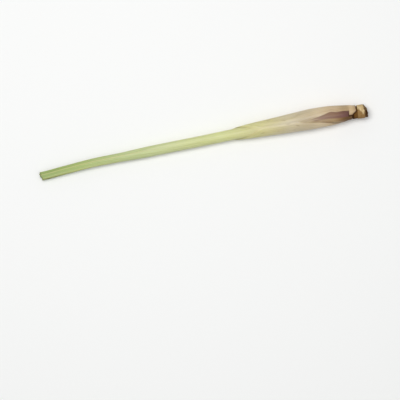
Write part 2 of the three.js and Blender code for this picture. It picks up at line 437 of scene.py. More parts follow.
class Finish:
    """A material's node tree, and the few kinds of node that the finishes use."""

    def __init__(self, name: str) -> None:
        """Makes an empty material with a Principled shader.

        Args:
            name: The material's name.
        """
        self.material = bpy.data.materials.new(name)
        self.material.use_nodes = True
        self.tree = self.material.node_tree
        self.shader = self.tree.nodes["Principled BSDF"]

    def fill(self, node: bpy.types.Node, inputs: dict) -> None:
        """Fills a node's inputs.

        Args:
            node: The node.
            inputs: For each input's name or number, the socket that feeds it or its fixed value.
        """
        for key, value in inputs.items():
            if isinstance(value, Socket):
                self.tree.links.new(value, node.inputs[key])
            else:
                node.inputs[key].default_value = value

    def node(self, kind: str, inputs: dict | None = None, **settings: object) -> bpy.types.Node:
        """Adds a node.

        Args:
            kind: Blender's name for the kind of node.
            inputs: What its inputs hold, as fill takes it.
            **settings: The node's other fields.

        Returns:
            The node.
        """
        made = self.tree.nodes.new(kind)
        for key, value in settings.items():
            setattr(made, key, value)
        self.fill(made, inputs or {})
        return made

    def paint(self, name: str) -> Socket:
        """The number painted on the mesh under a name."""
        return self.node("ShaderNodeAttribute", attribute_name=name).outputs["Fac"]

    def space(self) -> Socket:
        """Coordinates in the piece's own space."""
        return self.node("ShaderNodeTexCoord").outputs["Object"]

    def combine(self, operation: str, one: Socket, other: Socket | float) -> Socket:
        """Works out one number from two, by Blender's name for the operation."""
        return self.node("ShaderNodeMath", {0: one, 1: other}, operation=operation).outputs[0]

    def stretch(self, value: Socket, low: float, high: float, to: Pair = (0.0, 1.0)) -> Socket:
        """Maps a value from one range to another, held at the ends."""
        limits = {"Value": value, "From Min": low, "From Max": high, "To Min": to[0], "To Max": to[1]}
        return self.node("ShaderNodeMapRange", limits).outputs["Result"]

    def ramp(self, value: Socket, stops: Stops) -> Socket:
        """A colour read from stops along the stalk.

        Args:
            value: The place as a share of the length.
            stops: Places in millimetres and display colours.

        Returns:
            The colour's socket.
        """
        ramp = self.node("ShaderNodeValToRGB", {"Fac": value})
        elements = ramp.color_ramp.elements
        while len(elements) < len(stops):
            elements.new(0.5)
        for element, (place, colour) in zip(elements, stops):
            element.position = place / LENGTH
            element.color = linear(colour)
        return ramp.outputs["Color"]

    def mix(self, share: Socket, base: Colour | Socket, over: Colour | Socket, blend: str = "MIX") -> Socket:
        """Lays a colour over another.

        Args:
            share: How much of the upper colour shows.
            base: The lower colour, as a display colour or a socket.
            over: The upper colour, likewise.
            blend: Blender's name for the way they mix.

        Returns:
            The mixed colour's socket.
        """
        base, over = (linear(colour) if isinstance(colour, tuple) else colour for colour in (base, over))
        inputs = {"Factor": share, 6: base, 7: over}
        return self.node("ShaderNodeMix", inputs, data_type="RGBA", blend_type=blend).outputs[2]

    def noise(self, place: Socket, detail: float) -> Socket:
        """Noise of about 0.2 to 0.8 with one cell to each unit of place, in so many octaves."""
        inputs = {"Vector": place, "Scale": 1.0, "Detail": detail}
        return self.node("ShaderNodeTexNoise", inputs).outputs["Fac"]

    def streaks(self, streak: Streak, seed: float) -> Socket:
        """Noise drawn out along the veins.

        Args:
            streak: The kind of streak.
            seed: Shifts the pattern, with the streak's own shift.

        Returns:
            The noise's socket.
        """
        x = self.combine("MULTIPLY", self.paint("across_mm"), streak.across)
        y = self.combine("MULTIPLY", self.paint("along_mm"), streak.along)
        place = self.node("ShaderNodeCombineXYZ", {"X": x, "Y": y, "Z": seed + streak.shift})
        return self.noise(place.outputs[0], streak.detail)

    def clouds(self, cells: tuple[float, float, float], detail: float, seed: float) -> Socket:
        """Noise in the piece's own space, with so many cells in a metre along each axis."""
        moved = {"Vector": self.space(), "Location": (seed, 2 * seed, 3 * seed), "Scale": cells}
        return self.noise(self.node("ShaderNodeMapping", moved).outputs[0], detail)

    def dots(self, cells: float, edge: Pair) -> Socket:
        """Spots in the piece's own space, with so many cells in a metre, that fade in over an edge."""
        spots = self.node("ShaderNodeTexVoronoi", {"Scale": cells, "Vector": self.space()})
        return self.stretch(spots.outputs["Distance"], *edge)

    def bump(self, height: Socket, distance: float, strength: float = 0.6) -> Socket:
        """A normal pressed in by a height, with the distance that a height of 1 stands for."""
        inputs = {"Height": height, "Distance": distance, "Strength": strength}
        return self.node("ShaderNodeBump", inputs).outputs["Normal"]


@dataclass(frozen=True)
class LeafFinish:
    """A leaf's skin: colours along its length, streaks over them, and then one colour a brush."""

    name: str
    stops: Stops
    blush: Colour = (116, 78, 76)
    # dry brown, which the dry brush also lays as painted shadow on the second leaf
    dry_and_shade: Colour = (104, 66, 30)
    pale: Colour = (222, 198, 154)
    stain: Colour = (112, 74, 40)
    shade: Colour = (118, 86, 48)
    roughness: float = 0.46
    dry_roughness: float = 0.85
    specular: float = 0.5
    relief: float = 0.00006
    seed: float = 0.0

    def make(self) -> bpy.types.Material:
        """Builds the material.

        Returns:
            The finished material.
        """
        finish = Finish(self.name)
        colour = finish.ramp(finish.paint("along"), self.stops)
        noises = []
        for streak in (VEINS, THREADS, BANDS):
            noise = finish.streaks(streak, self.seed)
            tinted = finish.mix(finish.stretch(noise, *streak.deepens), colour, streak.tint, streak.blend)
            colour = finish.mix(finish.stretch(noise, *streak.appears, (0.0, streak.most)), colour, tinted)
            noises.append(noise)
        for brush in BRUSHES:
            colour = finish.mix(finish.paint(brush), colour, getattr(self, brush))
        height = finish.combine("ADD", noises[0], noises[1])
        rough = finish.stretch(finish.paint("dry_and_shade"), 0.0, 1.0, (self.roughness, self.dry_roughness))
        finish.fill(finish.shader, {
            "Base Color": colour, "Roughness": rough, "Specular IOR Level": self.specular,
            "Subsurface Weight": 0.18, "Subsurface Radius": (0.9, 0.9, 0.35), "Subsurface Scale": 0.0012,
            "Normal": finish.bump(height, self.relief),
        })
        return finish.material


@dataclass(frozen=True)
class CrownFinish:
    """The woody crown: cream skin that is browner on its -Y side, partly as painted shade, a painted shadow
    along the outer sheath's foot, a charred rim and a cut face with strands.
    """

    name: str = "woody_crown"
    skin: Colour = (213, 189, 142)
    # browner skin of the -Y side: partly its own colour, partly painted shade
    tan_and_shade: Colour = (143, 111, 66)
    shade: Colour = (168, 132, 84)
    scar_and_shade: Colour = (57, 29, 0)
    # dark brown of the scars and the charred rim, also laid as the painted shadow along the outer sheath's
    # foot
    bark: Colour = (106, 72, 30)
    face: Colour = (216, 193, 143)
    strand: Colour = (132, 98, 56)
    mottle_cells: tuple[float, float, float] = (600, 450, 450)
    fibre_cells: tuple[float, float, float] = (2200, 2200, 2200)
    strand_cells: float = 1900
    strand_edge: Pair = (0.42, 0.22)  # distances from a strand's middle, in cells

    def make(self) -> bpy.types.Material:
        """Builds the material.

        Returns:
            The finished material.
        """
        finish = Finish(self.name)
        mottle = finish.clouds(self.mottle_cells, 4.0, 3.1)
        fibre = finish.clouds(self.fibre_cells, 2.0, 9.4)
        dots = finish.dots(self.strand_cells, self.strand_edge)
        colour = self.skin
        for share, over in (
            (finish.paint("tan_and_shade"), self.tan_and_shade),
            (finish.stretch(mottle, 0.42, 0.72, (0.0, 0.7)), self.shade),
            (finish.paint("face"), self.face),
            (finish.stretch(fibre, 0.5, 0.8, (0.0, 0.35)), self.shade),
            (finish.combine("MULTIPLY", dots, finish.paint("strands")), self.strand),
            (finish.paint("bark"), self.bark),
            (finish.paint("dry_and_shade"), self.scar_and_shade),
        ):
            colour = finish.mix(share, colour, over)
        finish.fill(finish.shader, {
            "Base Color": colour, "Roughness": 0.72, "Specular IOR Level": 0.12,
            "Subsurface Weight": 0.1, "Subsurface Radius": (0.8, 0.6, 0.3), "Subsurface Scale": 0.001,
            "Normal": finish.bump(fibre, 0.0001),
        })
        return finish.material


def dress(shell: Shell, material: bpy.types.Material, slot: Slot) -> bpy.types.Object:
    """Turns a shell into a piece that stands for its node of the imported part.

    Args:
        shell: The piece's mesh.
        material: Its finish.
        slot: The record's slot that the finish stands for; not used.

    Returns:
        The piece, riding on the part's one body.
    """
    piece = shell.to_object()
    piece.data.materials.append(material)
    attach(piece, BODY)
    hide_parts(shell.node)
    LOG.info("%s: %d faces, stands for %s", piece.name, len(piece.data.polygons), shell.node)
    return piece


# ---------------------------------------------------------------- leaves


@dataclass
class LeafPlaces:
    """Where the points of one side of a leaf lie, each an array over rows and steps across.

    margin, foot and tip are distances from the leaf's edges. vein is the share of the way across its
    veins, and across the same in the finishes' own millimetres.
    """

    place: Array
    angle: Array
    direction: Array
    margin: Array
    foot: Array
    tip: Array
    vein: Array
    across: Array


@dataclass(frozen=True)
class Leaf:
    """One sheathing leaf with its blade, as a thin sheet round the stalk.

    wrap is the angle from midrib to margin, and turn how far the leaf is turned from the side that
    it would open to. lift says where the over margin rides on the under one, flare how far the
    margins stand off, keel how high the midrib is, and flap how much wider the under margin is.
    """

    name: str
    slot: Slot
    finish: LeafFinish
    order: int
    spacing: tuple[Pair, ...]
    wrap: Curve
    steps: int
    ribs: int
    turn: Curve = LEVEL
    lift: Curve = LEVEL
    flare: Curve = LEVEL
    keel: Curve = LEVEL
    flap: Curve = LEVEL
    flap_root: float = 0.3  # the share of the way across that the flap takes up
    margin: Curve = Curve((20, 0.5), (LENGTH, 0.28))
    thinning: float = 3.5  # how soon the sheet is thinner towards a margin
    waver: float = 2.2  # degrees
    waver_rise: Pair = (8, 24)
    # For each margin a long and a short wave: its length, and where its noise is read.
    under_waves: tuple[Pair, Pair] = ((13, 0.5), (3.7, 7.5))
    over_waves: tuple[Pair, Pair] = ((11, 3.5), (4.3, 9.5))
    lift_ramp: float = 34.0  # degrees over which the over margin climbs
    lift_lead: float = 4.0  # degrees left between the climb and the under margin
    lift_air: float = 0.14
    keel_width: float = 12.0  # degrees
    rib_height: float = 0.034  # as a share of a rib's width
    foot_reach: float = 7.0
    tip_reach: float = 12.0
    tip_slant: float = 1.2
    tip_fray: float = 0.2
    pale_midrib: Pair = (200, 260)

    @property
    def seed(self) -> int:
        """The seed of this leaf's own unevenness."""
        return 100 + 10 * self.order

    @property
    def begins(self) -> float:
        """The place of the leaf's foot."""
        return self.spacing[0][0]

    @property
    def ends(self) -> float:
        """The place of the leaf's cut end."""
        return self.spacing[-1][0]

    def grain(self, number: int, across: Array, along: Array) -> Array:
        """The leaf's own noise of a number, read at two coordinates."""
        return Grain(self.seed + number)(across, along)

    def reach(self, place: Array, waves: tuple[Pair, Pair]) -> Array:
        """The angle from the midrib to one margin, which wavers a little.

        Args:
            place: Distance from the root end.
            waves: The margin's long and short wave.

        Returns:
            The angle in degrees: the wrap, plus the waver times the long wave and 0.4 of the short.
        """
        (long, row), (short, other) = waves
        wave = self.grain(0, place / long, row) + 0.4 * self.grain(1, place / short, other)
        return self.wrap(place) + self.waver * smooth_step(place - self.begins, *self.waver_rise) * wave

    def locate(self, place: Array, share: Array) -> LeafPlaces:
        """Finds the directions at places along the leaf and shares of the way across it.

        The angle from the midrib runs between the two margins' reaches. A flap adds to the under
        one, and the steps that lie near that margin share the added width.

        Args:
            place: Distances from the root end.
            share: Shares of the way from the under margin to the over one.

        Returns:
            The places, directions and distances from the leaf's edges.
        """
        under, over = self.reach(place, self.under_waves), self.reach(place, self.over_waves)
        flap = self.flap(place)
        angle = -under + (under + over) * share - flap * np.clip(1 - share / self.flap_root, 0, 1) ** 2
        side = 180.0 if self.order % 2 == 0 else 0.0
        direction = STALK.opening(place) + self.turn(place) + side + angle
        per_degree = math.pi / 180 * STALK.leaf_outside(self.order, place)
        margin = np.minimum(angle + under + flap, over - angle) * per_degree
        vein = self.vein_share(place, angle, share)
        across = (vein - 0.5) * self.ribs * RIB_PITCH
        foot, tip = place - self.begins, self.ends - place
        return LeafPlaces(place, angle, direction, margin, foot, tip, vein, across)

    def vein_reach(self, place: Array) -> Array:
        """How many degrees the veins spread to each side of the midrib."""
        return self.wrap(place)

    def vein_share(self, place: Array, angle: Array, share: Array) -> Array:
        """Where a point lies among the veins, from 0 to 1 across: they keep to the margins."""
        return np.broadcast_to(share, angle.shape)

    def foot_shift(self, facts: LeafPlaces) -> Array:
        """How far the leaf's foot lies from its plain place: nothing on a hidden leaf."""
        return np.zeros_like(facts.angle)

    def tip_shift(self, facts: LeafPlaces) -> Array:
        """How far the leaf's cut end lies from its plain place: a sine round the stalk, and some fray."""
        fray = self.tip_fray * self.grain(2, facts.direction / 9, 5.5)
        return self.tip_slant * np.sin(np.radians(facts.direction)) + fray

    def hook(self, facts: LeafPlaces) -> Array:
        """How far the skin is drawn along the stalk without turning: nothing on a plain leaf."""
        return np.zeros_like(facts.angle)

    def bulge(self, facts: LeafPlaces) -> Array:
        """How far the leaf stands out where nothing lies over it: not at all on a hidden leaf."""
        return np.zeros_like(facts.angle)

    def radii(self, facts: LeafPlaces) -> tuple[Array, Array]:
        """The outside and inside radii of the sheet.

        The inside hugs the leaf beneath, plus the climb of the over margin on to the under one and
        the flare of the margins. The outside lies a thickness above, which thins towards the
        margins, plus the keel along the midrib and one wave for each rib.

        Args:
            facts: Places on the leaf.

        Returns:
            The two radii.
        """
        place, angle, reach = facts.place, facts.angle, self.wrap(facts.place)
        back, edge = STALK.back(place), self.margin(place)
        thickness = edge + (back - edge) * (1.0 - decay(facts.margin, self.thinning))
        climb_ends = 360.0 - np.maximum(reach, 180.0) - self.lift_lead
        climb = smooth_step(angle, climb_ends - self.lift_ramp, climb_ends) * self.lift(place)
        stand = smooth_step(np.abs(angle) / reach, 0.5, 1.0) * self.flare(place)
        girth = np.radians(2 * self.vein_reach(place)) * STALK.leaf_outside(self.order, place)
        wave = np.cos(2 * np.pi * self.ribs * facts.vein) * girth / self.ribs * self.rib_height
        uneven = 0.6 + 0.4 * self.grain(3, facts.vein * self.ribs / 3.1, place / 60)
        ridge = self.keel(place) * bell(angle, self.keel_width) + self.bulge(facts)
        inside = STALK.leaf_inside(self.order, place) + climb * (edge + self.lift_air) + stand
        return inside + thickness + ridge + wave * uneven, inside

    def surface(self, steps: int) -> tuple[LeafPlaces, Array, Array]:
        """Works out the grid of the sheet.

        The rows near both ends move along by the foot's and the tip's own shifts, less and less.

        Args:
            steps: Steps across the sheet.

        Returns:
            The places on the leaf, the outside radii and the inside radii.
        """
        rows = stations(*self.spacing)[:, None]
        share = np.linspace(0.0, 1.0, steps + 1)[None, :]
        plain = self.locate(rows, share)
        shift = self.foot_shift(plain) * np.clip(1 - plain.foot / self.foot_reach, 0, 1)
        shift = shift + self.tip_shift(plain) * np.clip(1 - plain.tip / self.tip_reach, 0, 1)
        moved = self.locate(rows + shift, share)
        moved.foot, moved.tip, _ = np.broadcast_arrays(plain.foot, plain.tip, shift)
        moved.place = moved.place + self.hook(moved)
        return moved, *self.radii(moved)

    def brushes(self, facts: LeafPlaces) -> dict[str, Array]:
        """The painted numbers of one side, each from 0 to 1: dry ends, and a pale midrib and edge.

        Args:
            facts: Places on the leaf.

        Returns:
            Every brush by its name.
        """
        grain = self.grain(5, facts.across / 0.6, facts.place / 2.5)
        midrib = 0.45 * bell(facts.angle, 5.0) * smooth_step(facts.place, *self.pale_midrib)
        return dict.fromkeys(BRUSHES, np.zeros_like(facts.angle)) | {
            "dry_and_shade": 0.75 * decay(facts.tip, 0.45) * (0.6 + 0.4 * grain),
            "pale": np.maximum(midrib, 0.35 * decay(facts.margin, 0.8)),
        }

    def side(self, steps: int, within: bool) -> Patch:
        """Makes one side of the sheet.

        Args:
            steps: Steps across it.
            within: Whether it is the inner side.

        Returns:
            Its points and painted numbers.
        """
        facts, outside, inside = self.surface(steps)
        paint = self.brushes(facts) | pattern(facts.place, facts.across)
        return Patch(facts.place, facts.direction, inside if within else outside, paint)

    def build(self) -> bpy.types.Object:
        """Makes the leaf and dresses it."""
        outer, inner = self.side(self.steps, False), self.side(self.steps // 2, True)
        return dress(sheet_shell(self.name, outer, inner), self.finish.make(), self.slot)


@dataclass(frozen=True)
class OuterSheath(Leaf):
    """The outermost leaf: a torn foot with worn corners, open over the bulb, with a dry upper end."""

    corner_wear: float = 4.2
    corner_width: float = 3.7
    torn_below: float = 45.0
    tip_fray: float = 1.0
    fleck_count: int = 70
    hook_length: float = 0.9
    hook_side: Window = Window((-100, -60), (-18, 22))
    hook_place: Window = Window((15.5, 18.0), (18.5, 22.5))
    bulb_ends: Pair = (40, 70)
    flap_ends: Pair = (18.5, 20.5)
    near_blush: Window = Window((24, 34), (56, 84))
    far_blush: Window = Window((16, 30), (80, 112))
    pale_foot: Window = Window((1.5, 4.0), (5.5, 8.5))

    def vein_reach(self, place: Array) -> Array:
        """The veins of the torn stretch spread as far as those at its end."""
        return self.wrap(np.maximum(place, self.torn_below))

    def vein_share(self, place: Array, angle: Array, share: Array) -> Array:
        """The veins of the torn stretch run straight on, so that the tear cuts across them."""
        return 0.5 + (angle + self.turn(place)) / (2 * self.vein_reach(place))

    def foot_shift(self, facts: LeafPlaces) -> Array:
        """Works out the torn foot: ragged in two grains, and worn back at its two corners.

        Args:
            facts: Places on the leaf.

        Returns:
            How far up the stalk the foot moves.
        """
        ragged = 0.4 * self.grain(7, facts.direction / 9, 1.5)
        ragged = ragged + 0.25 * self.grain(8, facts.direction / 3.3, 2.5)
        return self.corner_wear * (1 - smooth_step(facts.margin, 0, self.corner_width)) + ragged

    def tip_shift(self, facts: LeafPlaces) -> Array:
        """The ragged upper end, alike over all the rows that it moves."""
        return self.tip_fray * self.grain(9, facts.direction[-1:] / 7, 4.5)

    def hook(self, facts: LeafPlaces) -> Array:
        """The torn flap's free side: its lower corner reaches further up the stalk than its root."""
        return self.hook_length * self.hook_side(signed(facts.direction)) * self.hook_place(facts.place)

    def flecks(self, facts: LeafPlaces) -> Array:
        """Small brown flecks, drawn out along the veins, at seeded places.

        Args:
            facts: Places on the leaf.

        Returns:
            How brown each point is.
        """
        rng = np.random.default_rng(self.seed + 2)
        made = np.zeros_like(facts.angle)
        for _ in range(self.fleck_count):
            place, across = rng.uniform(16, 136), rng.uniform(-25, 25)
            width, length = rng.uniform(0.25, 0.6), rng.uniform(0.8, 2.6)
            depth = rng.uniform(0.12, 0.42)
            apart = np.hypot((facts.across - across) / width, (facts.place - place) / length)
            made = np.maximum(made, depth * bell(apart, 1.0))
        return made

    def foot_edge(self, direction: Array) -> Array:
        """Where the torn foot lies round the stalk, straight from corner to corner in the opening.

        Args:
            direction: Degrees from straight up.

        Returns:
            Distances from the root end.
        """
        facts = self.surface(self.steps)[0]
        turned = facts.direction[0] % 360
        order = np.argsort(turned)
        return np.interp(direction % 360, turned[order], facts.place[0][order], period=360)

    def brushes(self, facts: LeafPlaces) -> dict[str, Array]:
        """The painted numbers of the outermost leaf.

        Dry brown follows the foot, the upper end and the margins over the bulb. Blush lies beside
        the opening, stronger on its under side, and in a faint cloud over the bulb.

        Args:
            facts: Places on the leaf.

        Returns:
            Every brush by its name.
        """
        place, margin = facts.place, facts.margin
        grain = self.grain(5, facts.across / 0.8, place / 3.5)
        cloud = self.grain(6, facts.across / 7.0, place / 24)
        bulb = 1 - smooth_step(place, *self.bulb_ends)
        foot = decay(np.maximum(facts.foot - 0.1, 0), 0.45) * (0.8 + 0.2 * grain)
        end = 0.6 * decay(facts.tip, 0.8) * (0.65 + 0.35 * grain)
        edge = decay(margin, 0.3 + 0.5 * (1 - smooth_step(place, 20, 22))) * (0.5 + 0.3 * grain) * bulb
        near = np.where(facts.angle < 0, 0.16, 0.04) * decay(margin, 5.0) * self.near_blush(place)
        torn = 0.35 * decay(margin, 2.2) * (1 - smooth_step(place, *self.flap_ends))
        pale = 0.6 * self.pale_foot(facts.foot) * (0.75 + 0.25 * cloud)
        return super().brushes(facts) | {
            "dry_and_shade": np.clip(np.maximum.reduce([foot, end, edge]), 0, 1),
            "blush": np.clip(near + 0.10 * self.far_blush(place) * (0.5 + 0.5 * cloud), 0, 1),
            "stain": np.maximum(self.flecks(facts), torn),
            "pale": np.maximum(pale, 0.35 * decay(margin, 1.2) * (1 - bulb)),
        }


@dataclass(frozen=True)
class SecondLeaf(Leaf):
    """The second leaf: purple and tan where the outer sheath leaves it bare, with painted shade and shadow
    near its foot, green further on.
    """

    bare_from: Curve = Curve(
        (16, -128), (24, -112), (31, -84), (38, -52), (45, -36), (57, -21), (64, -14)
    )
    bare_to: Curve = Curve((16, 13), (24, 16), (31, 16), (38, 20), (45, 10), (57, -3), (64, -12))
    fullness: float = 0.6
    full_place: Window = Window((19.0, 26), (48, 62))
    purple_from: Curve = Curve((20, -29), (23, -27), (38, -16), (47, -13), (56, -9))
    purple_side: Window = Window((-60, -30), (60, 110))
    purple_fades: Curve = Curve(
        (16, 0.95), (28, 0.86), (40, 0.76), (48, 0.68), (55, 0.42), (62, 0.2), (74, 0.0)
    )
    spot_place: Pair = (52.5, 4.0)  # the middle and the width of a purple spot at the streak's end
    spot_side: Pair = (-17, 8)
    # where the painted shade fades out along the leaf
    shade_fades: Pair = (20, 36)
    foot_fades: Pair = (18.5, 27)
    flap_shadow_side: Window = Window((-37, -28), (-8, 4))  # of the painted shadow under the outer sheath's flap
    flap_shadow_fades: Pair = (19.3, 20.4)

    def bulge(self, facts: LeafPlaces) -> Array:
        """Works out how the leaf fills the outer sheath's opening, away from that sheath's margins.

        Args:
            facts: Places on the leaf.

        Returns:
            How far it stands out.
        """
        turned = signed(facts.direction)
        inward = np.minimum(turned - self.bare_from(facts.place), self.bare_to(facts.place) - turned)
        return self.fullness * smooth_step(inward, 2, 22) * self.full_place(facts.place)

    def brushes(self, facts: LeafPlaces) -> dict[str, Array]:
        """The plain leaf's painted numbers, with the bulb's purple, painted shade towards the foot, a
        painted shadow under the outer sheath's flap and a dark foot over them.

        Args:
            facts: Places on the leaf.

        Returns:
            Every brush by its name.
        """
        made = super().brushes(facts)
        place, turned = facts.place, signed(facts.direction)
        cloud = self.grain(6, facts.across / 3.0, place / 16)
        purple = smooth_step(turned - self.purple_from(place) + 4 * cloud, -7, 7) * self.purple_side(turned)
        (at, length), (beside, width) = self.spot_place, self.spot_side
        spot = 0.5 * bell(place - at, length) * bell(turned - beside, width)
        foot = 0.42 * (1 - smooth_step(place + 1.5 * cloud, *self.foot_fades)) * (0.85 + 0.15 * cloud)
        # painted shadow under the outer sheath's flap, laid with the dry brush's dark brown
        line = 0.95 * self.flap_shadow_side(turned) * (1 - smooth_step(place, *self.flap_shadow_fades))
        return made | {
            "blush": np.maximum((0.85 + 0.15 * cloud) * purple * self.purple_fades(place), spot),
            # painted shade, darker towards the foot and less over the purple
            "shade": (1 - smooth_step(place, *self.shade_fades)) * (1 - 0.35 * purple),
            "dry_and_shade": np.maximum.reduce([made["dry_and_shade"], foot, line]),
        }


# ---------------------------------------------------------------- spear and crown


@dataclass(frozen=True)
class Spear:
    """The youngest leaf, rolled on itself: a thin sheet on a spiral section."""

    finish: LeafFinish
    order: int = 4
    spacing: tuple[Pair, ...] = ((32.3, 1.2), (60, 3.0), (300, 3.0), (333.5, 0.8))
    turns: float = 2.1
    steps: int = 96
    core: float = 0.12  # the spiral's first radius, as a share of the roll's
    gauge: float = 0.72  # the sheet's thickness, as a share of the distance between turns
    least_radius: float = 0.04
    starts_at: float = 40.0
    twist: float = 0.1
    tip_slant: float = 1.2
    tip_reach: float = 10.0

    def side(self, steps: int, within: bool) -> Patch:
        """Makes one side of the rolled sheet.

        The spiral's radius grows evenly with the angle, from the core's to all of the roll's.

        Args:
            steps: Steps along the spiral.
            within: Whether it is the inner side, a thickness further in.

        Returns:
            Its points and painted numbers.
        """
        rows = stations(*self.spacing)[:, None]
        roll = STALK.leaf_inside(self.order, rows) - GAP
        share = np.linspace(0.0, 1.0, steps + 1)[None, :]
        direction = 360.0 * self.turns * share + self.starts_at + self.twist * rows
        near_tip = np.clip(1 - (rows[-1] - rows) / self.tip_reach, 0, 1)
        place = rows + self.tip_slant * np.sin(np.radians(direction)) * near_tip
        radius = roll * (self.core + (1 - self.core) * share)
        if within:
            pitch = (1 - self.core) * roll / self.turns
            radius = np.maximum(radius - self.gauge * pitch, self.least_radius)
        return Patch(place, direction, radius, pattern(place, direction / 20))

    def build(self) -> bpy.types.Object:
        """Makes the rolled leaf and dresses it."""
        outer, inner = self.side(self.steps, False), self.side(self.steps // 2, True)
        return dress(sheet_shell("spear_leaf", outer, inner), self.finish.make(), Slot.SPEAR_LEAF)


@dataclass(frozen=True)
class Crown:
    """The woody crown: a cut face, a banded stub with root scars, and the cone inside the leaves."""

    finish: CrownFinish
    around: int = 220
    face_rings: int = 30
    spacing: tuple[Pair, ...] = ((0.0, 0.10), (11.2, 0.14), (15.5, 0.3))  # on the stub
    begins: tuple[float, ...] = (11.6, 16, 20, 24, 28)  # where each leaf has its foot
    foot_room: float = 1.2  # how far below its foot the outermost leaf is kept clear of
    top: float = 32.0
    stub: Curve = Curve(
        (0, 6.3), (0.5, 6.62), (2.6, 6.6), (3.6, 7.02), (7, 6.85), (9.9, 6.85), (10.5, 6.0), (11.2, 6.0),
        (13.5, 6.2), (15.7, 6.1),
    )
    scars: int = 16
    scar_radius: float = 6.8  # of the stub, where the scars are
    seed: int = 41
    wear: float = 2.4  # how far the cut's +Y side is worn off
    cut_reach: float = 5.5
    bark_place: Window = Window((0.2, 1.2), (9.6, 10.6))
    groove: Window = Window((9.8, 10.8), (15.2, 15.7))
    full_side: Window = Window((-126, -110), (-42, -26))
    full_place: Window = Window((9.8, 10.8), (15.0, 15.7))
    open_side: Window = Window((-130, -100), (-25, 0))  # where the outer sheath is torn open
    # directions where the painted shadow along the outer sheath's foot is fainter
    light_side: Window = Window((-25, -5), (15, 35))
    crease_place: Window = Window((3.0, 4.5), (8.8, 9.8))

    @property
    def direction(self) -> Array:
        """The directions of the points of every ring, in one row."""
        return (360.0 * np.arange(self.around) / self.around)[None, :]

    @property
    def across(self) -> Array:
        """How much each direction leans to +Y, from -1 to 1: its sine."""
        return np.sin(np.radians(self.direction))

    @property
    def upright(self) -> Array:
        """How much each direction leans upwards, from -1 to 1: its cosine."""
        return np.cos(np.radians(self.direction))

    def grain(self, number: int, cells: int, along: Array) -> Array:
        """Noise that closes round the stub: its number, its cells in the girth, and where it is read."""
        return Grain(self.seed + number, cells)(self.direction / 360 * cells, along)

    def room(self, place: Array) -> Array:
        """The radius that the outermost leaf leaves free, without limit below its foot."""
        inside = STALK.leaf_inside(0, place) - 0.5 * GAP
        return np.where(place > self.begins[0] - self.foot_room, inside, np.inf)

    def outline(self) -> tuple[Array, Array]:
        """Lays out the crown from the cut face to its top: the stub, and then the cone.

        Returns:
            Places and radii, with a ledge just under the foot of each inner leaf.
        """
        stub = stations(*self.spacing)
        places, radii = [stub], [np.minimum(self.stub(stub), self.room(stub))]
        ledges = [begins - GAP for begins in self.begins] + [self.top]
        for order in range(1, len(self.begins)):
            stretch = np.linspace(ledges[order], ledges[order + 1], 5)
            places.append(stretch)
            radii.append(STALK.leaf_inside(order, stretch) - GAP)
        return np.concatenate(places), np.concatenate(radii)

    def cut(self) -> Array:
        """How far the cut lies from a square one: its +Y side is worn off, and it is uneven."""
        uneven = 0.35 * self.grain(8, 16, 0.5) + 0.2 * self.grain(9, 44, 0.5)
        return self.wear * smooth_step(self.across, 0.1, 1.0) + 0.3 + uneven

    def relief(self, place: Array) -> tuple[Array, Array]:
        """Bark relief and root scars on the bare stub.

        The bark is two grains of noise and the fine rings that leaf bases have left, with fibres in
        the groove. A scar is a low ring with a pit in it, at a seeded place.

        Args:
            place: Distance from the root end.

        Returns:
            Height of the relief, and how brown the scars are.
        """
        coarse = 0.12 * self.grain(0, 20, place / 1.3)
        fine = 0.06 * self.grain(1, 48, place / 0.5)
        rings = 0.07 * np.cos(2 * np.pi * (place / 1.55 + 0.3 * self.grain(2, 7, place / 4)))
        fibre = -0.12 * np.abs(self.grain(10, 60, place / 3)) * self.groove(place)
        height = (coarse + fine + rings) * self.bark_place(place) + fibre
        brown = np.zeros_like(height)
        rng = np.random.default_rng(self.seed)
        for _ in range(self.scars):
            at, angle, size = rng.uniform(3.4, 8.9), rng.uniform(0, 2 * math.pi), rng.uniform(0.35, 0.7)
            turned = np.radians(np.abs(signed(self.direction - math.degrees(angle))))
            distance = np.hypot(turned * self.scar_radius, place - at) / size
            ring, pit = bell(distance - 0.9, math.sqrt(0.10)), bell(distance, math.sqrt(0.3))
            height += 0.2 * size * (ring - 1.3 * pit)
            brown = np.maximum(brown, np.exp(-((distance / 0.95) ** 4)))
        return height, brown

    def band(self, place: Array) -> Array:
        """Paints the charred band behind the cut's rim.

        It is narrower towards +Y, and reaches further at one place there and towards -Y.

        Args:
            place: Distance from the rim.

        Returns:
            How dark each point is.
        """
        across = self.across
        reach = 2.3 - 0.9 * across.clip(0, 1) + 0.9 * bell(across - 0.3, 0.25)
        reach = reach + 0.5 * smooth_step(-across, 0, 0.3)
        return (1 - smooth_step(place - reach, -0.7, 0.7)) * (0.9 + 0.1 * bell(across + 0.2, 0.35))

    def foot_shadow_line(self, sheath: OuterSheath, place: Array) -> Array:
        """Paints the dark line on the crown along the outer sheath's torn foot: mostly painted shadow in the
        gap there, partly the burnt brown of the torn edge.

        Args:
            sheath: The outer sheath.
            place: Distance from the root end.

        Returns:
            How dark each point is, by its distance square to the foot's edge.
        """
        edge = sheath.foot_edge(self.direction)
        slope = np.gradient(edge, axis=1) / (math.radians(360.0 / self.around) * self.stub(edge))
        turned = signed(self.direction)
        beside = (place - edge) / np.sqrt(1 + slope**2) + 0.6 * self.open_side(turned)
        light = self.light_side(turned) * (1 - smooth_step(place, 11.5, 13.0))
        return smooth_step(beside, -1.6, -0.8) * (0.96 - 0.22 * light)

